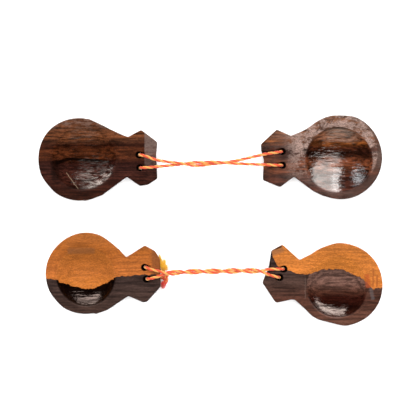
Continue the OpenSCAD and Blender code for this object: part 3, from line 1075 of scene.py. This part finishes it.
def dark_right_look():
    """Dark wood with a pale, worn finish on its rim with its satin sheen painted in, a painted dark
    reflection in its hollow, tool marks, and a plain edge at its far end.
    """
    look = Look("dark_wood_right")
    broad, medium, fine = streaks(look)
    colour = banded(look, broad, [
        (15, "#3d2016"), (27, "#43231a"), (34, "#33180f"), (40, "#5a2f1b"), (46, "#562c1a"),
        (51, "#220e08"), (56, "#381a0e"), (59.5, "#6c3a18"), (62, "#5f3a28"), (81, "#5a3824"),
    ])
    colour = shaded(look, colour, medium, 0.3, 1.7)
    colour = shaded(look, colour, look.noise((90, 150, 150), detail=3), 0.45, 1.5)
    blotch = look.noise((110, 170, 170), detail=5, roughness=0.7)
    grit = look.noise((1100, 1900, 1900), detail=2)
    # The rim's pale patches: worn finish, with its satin sheen painted in, on the upper face, fading
    # towards the lower side and on the ear
    sheen_colour = shaded(look, tint("#8d746a"), grit, 0.5, 1.5)
    rim = look.between(look.stored("beyond_hollow"), -0.3, 0.4)
    lower = look.between(look.axis("Y"), 0.02, 0.06, 0.1, 0.95)
    ear = look.between(look.axis("X"), 0.054, 0.068, 0.1, 1)
    lower = look.times(lower, upper_face(look, 0.15))
    worn_finish_and_sheen = look.times(look.between(blotch, 0.41, 0.55, 0.05, 1), lower)
    worn_finish_and_sheen = look.times(worn_finish_and_sheen, ear)
    colour = marked(look, colour, medium, [
        ((74.5, 59.5), (86, 58.5), 3, "#1a0b07", 0.65),
        ((112, 38.5), (121, 37.5), 2, "#120907", 0.75),
        # Painted dark reflection: the gap between the two highlights in the hollow
        ((97.5, 27), (103, 26.6), 1.8, "#1a0e0b", 0.75),
    ])
    tool_marks = [((x, y), (x + 3.6, y + 5), 0.6, "#2e1f1a", 0.6)
                  for x, y in ((81, 67), (84.5, 69.6), (88, 71.5), (91, 73.2))]
    colour = look.mix(look.times(rim, worn_finish_and_sheen), colour, sheen_colour)
    colour = marked(look, colour, medium, tool_marks)
    lean = look.times(look.minus(look.axis("Y"), 0.05), 110)
    edge = look.between(look.plus(look.stored("inside_edge"), lean), 4.4, 3, 0, 0.8)
    edge = look.times(edge, look.between(blotch, 0.36, 0.52, 0.6, 1))
    far = look.between(look.axis("X"), 0.1, 0.118)
    colour = look.mix(look.times(edge, far), colour, tint("#37231b"))
    colour = shaded(look, colour, fine, 0.75, 1.3)
    finish_wood(look, colour, medium, fine, ("#8d7466", 0.35), (0.1, 0.7, 1, 0.1))
    return look.material


def two_tone(look, broad, medium, fine, sap, heart, hollow):
    """Sapwood above a ragged border, lightened in the hollow by painted light, and heartwood below it,
    of another colour in the hollow.
    """
    within = look.between(look.stored("beyond_hollow"), 0.3, -0.8)
    sapwood = shaded(look, banded(look, broad, sap), medium, 0.78, 1.22)
    # Painted light: the sapwood is lightened in the hollow, against the shade there
    sapwood = look.mix(look.times(within, 0.12), sapwood, tint("#cf8540"))
    heartwood = look.mix(within, banded(look, broad, heart), banded(look, broad, hollow))
    heartwood = shaded(look, heartwood, medium, 0.45, 1.55)
    lumps = look.minus(look.noise((300, 420, 420), detail=3), 0.5)
    ragged = look.plus(look.minus(medium, 0.5), look.times(lumps, 2))
    side = look.plus(look.stored("heart"), look.times(ragged, 1.8))
    colour = look.mix(look.between(side, -0.2, 0.2), sapwood, heartwood)
    colour = shaded(look, colour, look.noise((700, 1500, 1500), detail=2), 0.82, 1.18)
    return shaded(look, colour, fine, 0.85, 1.18)


def two_tone_left_look():
    """Orange sapwood over black heartwood, with a painted reflection at the top of its hollow and
    painted shade on its ear's bevel.
    """
    look = Look("two_tone_left")
    broad, medium, fine = streaks(look)
    colour = two_tone(look, broad, medium, fine,
                      [(-60, "#b4652a"), (-50, "#b8692a"), (-40, "#ac602a"), (-24, "#97531f"),
                       (-9, "#9d5a27")],
                      # Heartwood on the rim: the dark wood, greyed by a painted satin sheen
                      [(-74, "#3c2a23"), (-52, "#3c2c27"), (-40, "#2a1e1b")],
                      [(-72, "#0f0604"), (-40, "#080302")])
    # Painted reflection: a brownish lens on the hollow's upper wall
    colour = marked(look, colour, medium, [((-109, -23.4), (-87, -23), 3.4, "#7f4f2e", 0.7)])
    # Painted shade: the sapwood on the ear's bevel is darkened, as the bevel turns from the light
    facet = look.between(look.stored("beyond_crease"), -1.5, 1, 0, 0.55)
    facet = look.times(facet, look.between(look.stored("heart"), 0.5, -1))
    colour = look.mix(facet, colour, tint("#633a22"))
    finish_wood(look, colour, medium, fine, ("#a98a6c", 0.4), (0.2, 0.3, 0.9, 0.12))
    return look.material


def two_tone_right_look():
    """Orange sapwood over brown heartwood, stained on its ear and streaked at its far end, with a
    painted reflection on its hollow's upper wall and a painted highlight on its rim.
    """
    look = Look("two_tone_right")
    broad, medium, fine = streaks(look, 12)
    colour = two_tone(look, broad, medium, fine,
                      [(-60, "#b3662a"), (-40, "#c0702f"), (-26, "#b4692b"), (-17, "#a5602a")],
                      [(-81, "#59392d"), (-60, "#47291f"), (-48, "#432f28"), (-36, "#342622")],
                      # Heartwood in the hollow: the grey-brown from -47 to -38 mm is a painted
                      # reflection on its upper wall
                      [(-76, "#2c110b"), (-66, "#1c0805"), (-59, "#2c100a"), (-54, "#46291f"),
                       (-47, "#6b4d43"), (-38, "#5a423a")])
    colour = marked(look, colour, medium, [
        ((46.8, -25), (56, -21), 3.4, "#8a5a38", 0.7),
        ((45.9, -22.9), (54.8, -19.1), 1.3, "#2b1a12", 0.85),
        ((46.3, -22), (45.3, -36), 1.4, "#150c09", 0.8),
        ((119.2, -40.5), (120.6, -51.5), 2.8, "#a84a22", 0.62),
        ((124.1, -36), (124, -51), 0.9, "#8a4520", 0.55),
        ((127.2, -41), (127, -51), 0.9, "#8a4520", 0.6),
        # Painted highlight: a soft grey glint on the rim
        ((122.2, -51), (124, -60.5), 1.9, "#6b6666", 0.33),
        ((72.5, -43), (72.6, -60), 0.45, "#75625a", 0.35),
    ])
    finish_wood(look, colour, medium, fine, ("#8f7565", 0.3), (0.2, 0.25, 0.8, 0.09))
    return look.material


# The border between sapwood and heartwood on pair B's shells, as X and Y in mm.
HEART_B_LEFT = [
    (-125, -44), (-115.5, -45), (-114.5, -47), (-105.5, -50), (-95, -52), (-88.5, -52),
    (-82, -49), (-75, -45.5), (-71, -43), (-61.5, -42), (-48, -41), (-37, -41.5),
]
HEART_B_RIGHT = [
    (40, -22), (47, -23), (48, -28), (52, -35.5), (59, -38), (65.5, -40), (74.5, -41),
    (79.5, -39), (86, -37.5), (94, -37), (101.5, -37.5), (107, -40), (114.5, -43),
    (120, -47.5), (123.5, -52), (131, -51.5),
]


def make_shells():
    return {
        "a_left": make_shell("a_left", 1, dark_left_look()),
        "b_left": make_shell("b_left", 3, two_tone_left_look(), HEART_B_LEFT),
        "a_right": make_shell("a_right", 2, dark_right_look()),
        "b_right": make_shell("b_right", 4, two_tone_right_look(), HEART_B_RIGHT),
    }


def make_floor():
    """A plain white table top."""
    look = Look("table")
    look.set(Base_Color=(0.9, 0.9, 0.9, 1), Roughness=0.9)
    half = 3
    mesh = Mesh()
    corners = [(-half, -half, 0), (half, -half, 0), (half, half, 0), (-half, half, 0)]
    mesh.add(corners, [(0, 1, 2, 3)])
    floor = mesh.build("table", [look.material])
    return floor


make_camera()
make_cords()
make_light(make_shells(), make_floor())
